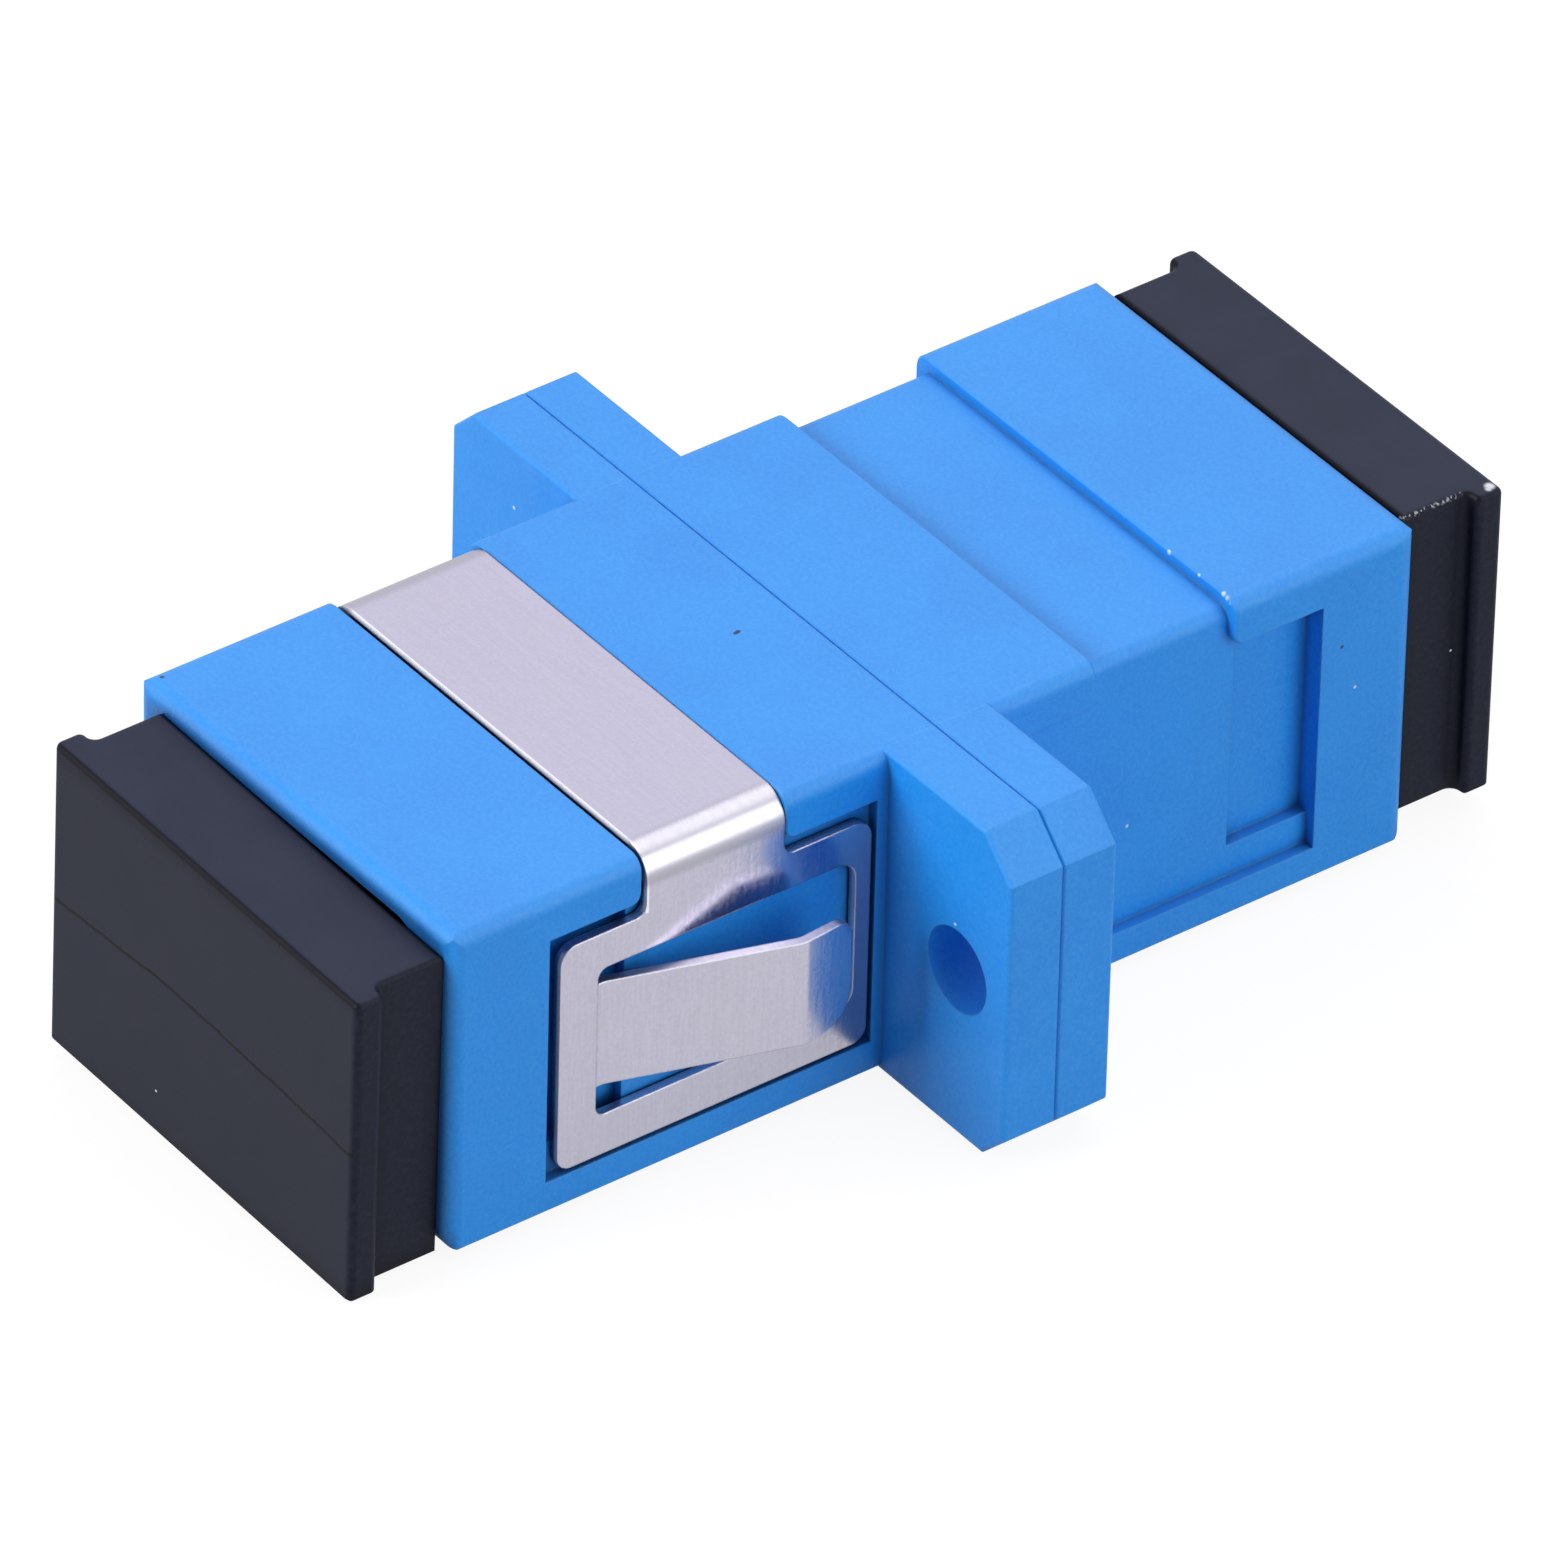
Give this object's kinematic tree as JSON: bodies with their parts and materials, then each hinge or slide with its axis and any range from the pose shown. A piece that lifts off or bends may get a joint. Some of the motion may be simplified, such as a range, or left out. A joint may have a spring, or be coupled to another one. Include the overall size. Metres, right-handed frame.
{
  "type": "sc fibre adapter",
  "caption": "Flanged simplex fibre adapter: split housing with a spring clip, latch holders and split sleeve inside, and a dust cap on each port.",
  "frame": {"origin": "on the ferrule axis, in the seam plane where the two housing halves meet", "axes": "+Y along the ferrule axis, out of the port on the side without the clip; +X across the flange, through its screw holes; +Z through the clip's top band"},
  "size_m": [0.0222, 0.0342, 0.0097],
  "materials": {
    "housing_plastic": "moulded blue plastic with a fine satin grain",
    "spring_steel": "rolled spring strip, fine grain",
    "holder_plastic": "natural moulded plastic",
    "sleeve_ceramic": "polished white ceramic",
    "cap_plastic": "soft black plastic, fine matte grain"
  },
  "bodies": {
    "adapter": {"front_housing": "housing_plastic", "rear_housing": "housing_plastic", "mounting_clip": "spring_steel", "front_latch_holder": "holder_plastic", "rear_latch_holder": "holder_plastic", "alignment_sleeve": "sleeve_ceramic"},
    "front_cap": {"front_dust_cap": "cap_plastic"},
    "rear_cap": {"rear_dust_cap": "cap_plastic"}
  },
  "joints": [
    {"name": "front_cap_slide", "type": "slide", "parent": "adapter", "child": "front_cap", "axis": [0, -1, 0], "range_m": [0, 0.02]},
    {"name": "rear_cap_slide", "type": "slide", "parent": "adapter", "child": "rear_cap", "axis": [0, 1, 0], "range_m": [0, 0.02]}
  ]
}
